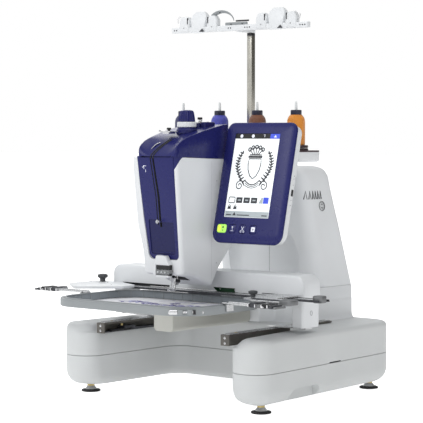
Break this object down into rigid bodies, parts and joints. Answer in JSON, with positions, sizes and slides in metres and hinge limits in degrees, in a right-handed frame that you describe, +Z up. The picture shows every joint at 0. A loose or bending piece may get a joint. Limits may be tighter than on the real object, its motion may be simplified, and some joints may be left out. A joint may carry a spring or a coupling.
{
  "type": "embroidery machine",
  "caption": "Free-arm embroidery machine with a hoop on a two-way carriage, tilting touch panel, spool stand and thread mast on a U-shaped base.",
  "frame": {"origin": "middle of the footprint, on the surface the feet stand on", "axes": "+X to the right of a person at the machine, +Y away from them, +Z up"},
  "size_m": [0.636, 0.6185, 0.79],
  "materials": {
    "white_shell": "satin",
    "base_white": "satin",
    "bed_beige": "satin",
    "navy": "gloss",
    "hoop_grey": "satin",
    "dark_grey": "matte",
    "steel": "brushed",
    "dark_steel": "satin",
    "rubber": "matte",
    "fabric": "woven",
    "glass": "gloss",
    "green": "gloss",
    "thread_navy": "wound thread",
    "thread_blue": "wound thread",
    "thread_brown": "wound thread",
    "thread_orange": "wound thread"
  },
  "bodies": {
    "machine": {"base_tray": "base_white", "base_cover": "base_white", "rail_left": "dark_steel", "rail_right": "dark_steel", "bed_cover": "bed_beige", "needle_plate": "steel", "lower_housing": "white_shell", "column_shell_left": "white_shell", "column_shell_right": "white_shell", "arm_shell_left": "white_shell", "arm_shell_right": "white_shell", "head_front_cover": "navy", "head_top_cover": "navy", "threader_housing": "white_shell", "main_motor": "dark_steel", "power_inlet": "dark_grey", "spool_stand": "white_shell", "mast_holder": "steel", "thread_guide_front": "steel", "thread_guide_rear": "steel", "drive_belt": "rubber"},
    "foot_front_left": {"foot_front_left": "rubber"},
    "foot_front_right": {"foot_front_right": "rubber"},
    "foot_rear_left": {"foot_rear_left": "rubber"},
    "foot_rear_right": {"foot_rear_right": "rubber"},
    "main_shaft": {"main_shaft": "steel"},
    "hook_shaft": {"hook_shaft": "steel"},
    "needle_bar": {"needle_bar": "steel"},
    "presser_foot": {"presser_foot": "steel"},
    "take_up_lever": {"take_up_lever": "steel"},
    "hook_cover": {"hook_cover": "bed_beige"},
    "gantry": {"gantry_cover": "white_shell", "gantry_frame": "steel"},
    "frame_carriage": {"frame_carriage": "dark_grey", "holder_arm_left": "white_shell", "holder_arm_right": "white_shell", "hoop_bracket_left": "steel", "hoop_bracket_right": "steel", "hoop_outer": "hoop_grey", "hoop_inner": "hoop_grey", "hoop_fabric": "fabric"},
    "knob_left": {"knob_left": "dark_grey"},
    "knob_right": {"knob_right": "dark_grey"},
    "hoop_screw": {"hoop_screw": "steel"},
    "panel_arm": {"panel_arm": "white_shell"},
    "panel": {"panel_back": "white_shell", "panel_bezel": "navy", "panel_glass": "glass"},
    "button_start_stop": {"button_start_stop": "green"},
    "button_presser_foot": {"button_presser_foot": "navy"},
    "button_thread_trim": {"button_thread_trim": "navy"},
    "button_auto_thread": {"button_auto_thread": "navy"},
    "mast": {"mast": "steel"},
    "guide_bar": {"guide_bar": "white_shell"},
    "tension_knob": {"tension_knob": "navy"},
    "spool_navy": {"spool_navy": "thread_navy"},
    "spool_blue": {"spool_blue": "thread_blue"},
    "spool_brown": {"spool_brown": "thread_brown"},
    "spool_orange": {"spool_orange": "thread_orange"}
  },
  "joints": [
    {"name": "gantry_travel", "type": "slide", "parent": "machine", "child": "gantry", "axis": [0, 1, 0], "range_m": [-0.012, 0.135]},
    {"name": "frame_travel", "type": "slide", "parent": "gantry", "child": "frame_carriage", "axis": [1, 0, 0], "range_m": [-0.15, 0.15]},
    {"name": "needle_stroke", "type": "slide", "parent": "machine", "child": "needle_bar", "axis": [0, 0, 1], "range_m": [-0.0312, 0]},
    {"name": "presser_foot_stroke", "type": "slide", "parent": "machine", "child": "presser_foot", "axis": [0, 0, 1], "range_m": [-0.0257, 0]},
    {"name": "take_up_swing", "type": "hinge", "parent": "machine", "child": "take_up_lever", "pos_m": [0, -0.14825, 0.361], "axis": [-1, 0, 0], "range_deg": [0, 36]},
    {"name": "main_shaft_spin", "type": "hinge", "parent": "machine", "child": "main_shaft", "pos_m": [0, -0.12625, 0.374], "axis": [0, 1, 0], "continuous": true},
    {"name": "hook_spin", "type": "hinge", "parent": "machine", "child": "hook_shaft", "pos_m": [0, -0.12625, 0.168], "axis": [0, 1, 0], "continuous": true},
    {"name": "hook_cover_hinge", "type": "hinge", "parent": "machine", "child": "hook_cover", "pos_m": [0, -0.15775, 0.143], "axis": [1, 0, 0], "range_deg": [0, 85]},
    {"name": "knob_left_turn", "type": "hinge", "parent": "frame_carriage", "child": "knob_left", "pos_m": [-0.262, -0.05625, 0.221], "axis": [0, 0, 1], "continuous": true},
    {"name": "knob_right_turn", "type": "hinge", "parent": "frame_carriage", "child": "knob_right", "pos_m": [0.205, -0.13125, 0.221], "axis": [0, 0, 1], "continuous": true},
    {"name": "hoop_screw_turn", "type": "hinge", "parent": "frame_carriage", "child": "hoop_screw", "pos_m": [0.16642, -0.28553, 0.202], "axis": [0.766, 0.6428, 0], "continuous": true},
    {"name": "panel_swivel", "type": "hinge", "parent": "machine", "child": "panel_arm", "pos_m": [0.066, -0.01225, 0.437], "axis": [0, 0, 1], "range_deg": [0, 18]},
    {"name": "panel_tilt", "type": "hinge", "parent": "panel_arm", "child": "panel", "pos_m": [0.15, -0.01225, 0.437], "axis": [1, 0, 0], "range_deg": [-8, 12]},
    {"name": "button_start_stop_press", "type": "slide", "parent": "panel", "child": "button_start_stop", "axis": [0, 0.9736, -0.2284], "range_m": [0, 0.0015], "stiffness_N_per_m": 400, "springref_m": -0.0005},
    {"name": "button_presser_foot_press", "type": "slide", "parent": "panel", "child": "button_presser_foot", "axis": [0, 0.9736, -0.2284], "range_m": [0, 0.0015], "stiffness_N_per_m": 400, "springref_m": -0.0005},
    {"name": "button_thread_trim_press", "type": "slide", "parent": "panel", "child": "button_thread_trim", "axis": [0, 0.9736, -0.2284], "range_m": [0, 0.0015], "stiffness_N_per_m": 400, "springref_m": -0.0005},
    {"name": "button_auto_thread_press", "type": "slide", "parent": "panel", "child": "button_auto_thread", "axis": [0, 0.9736, -0.2284], "range_m": [0, 0.0015], "stiffness_N_per_m": 400, "springref_m": -0.0005},
    {"name": "mast_slide", "type": "slide", "parent": "machine", "child": "mast", "axis": [0, 0, 1], "range_m": [-0.115, 0]},
    {"name": "guide_bar_swivel", "type": "hinge", "parent": "mast", "child": "guide_bar", "pos_m": [0, 0.11775, 0.746], "axis": [0, 0, 1], "range_deg": [-90, 0]},
    {"name": "tension_dial_turn", "type": "hinge", "parent": "machine", "child": "tension_knob", "pos_m": [0.012, -0.10125, 0.5467], "axis": [0, 0, 1], "range_deg": [-150, 150]},
    {"name": "spool_navy_spin", "type": "hinge", "parent": "machine", "child": "spool_navy", "pos_m": [-0.15, 0.07575, 0.505], "axis": [0, 0, 1], "continuous": true},
    {"name": "spool_blue_spin", "type": "hinge", "parent": "machine", "child": "spool_blue", "pos_m": [-0.05, 0.07575, 0.505], "axis": [0, 0, 1], "continuous": true},
    {"name": "spool_brown_spin", "type": "hinge", "parent": "machine", "child": "spool_brown", "pos_m": [0.05, 0.07575, 0.505], "axis": [0, 0, 1], "continuous": true},
    {"name": "spool_orange_spin", "type": "hinge", "parent": "machine", "child": "spool_orange", "pos_m": [0.15, 0.07575, 0.505], "axis": [0, 0, 1], "continuous": true},
    {"name": "foot_front_left_turn", "type": "hinge", "parent": "machine", "child": "foot_front_left", "pos_m": [-0.225, -0.13125, 0], "axis": [0, 0, 1], "continuous": true},
    {"name": "foot_front_right_turn", "type": "hinge", "parent": "machine", "child": "foot_front_right", "pos_m": [0.225, -0.13125, 0], "axis": [0, 0, 1], "continuous": true},
    {"name": "foot_rear_left_turn", "type": "hinge", "parent": "machine", "child": "foot_rear_left", "pos_m": [-0.193, 0.27275, 0], "axis": [0, 0, 1], "continuous": true},
    {"name": "foot_rear_right_turn", "type": "hinge", "parent": "machine", "child": "foot_rear_right", "pos_m": [0.193, 0.27275, 0], "axis": [0, 0, 1], "continuous": true}
  ],
  "couplings": [
    {"joint": "hook_spin", "follows": "main_shaft_spin", "ratio": 2},
    {"joint": "take_up_swing", "follows": "needle_stroke", "rad_per_m": -19.6},
    {"joint": "presser_foot_stroke", "follows": "needle_stroke", "ratio": 0.82}
  ]
}
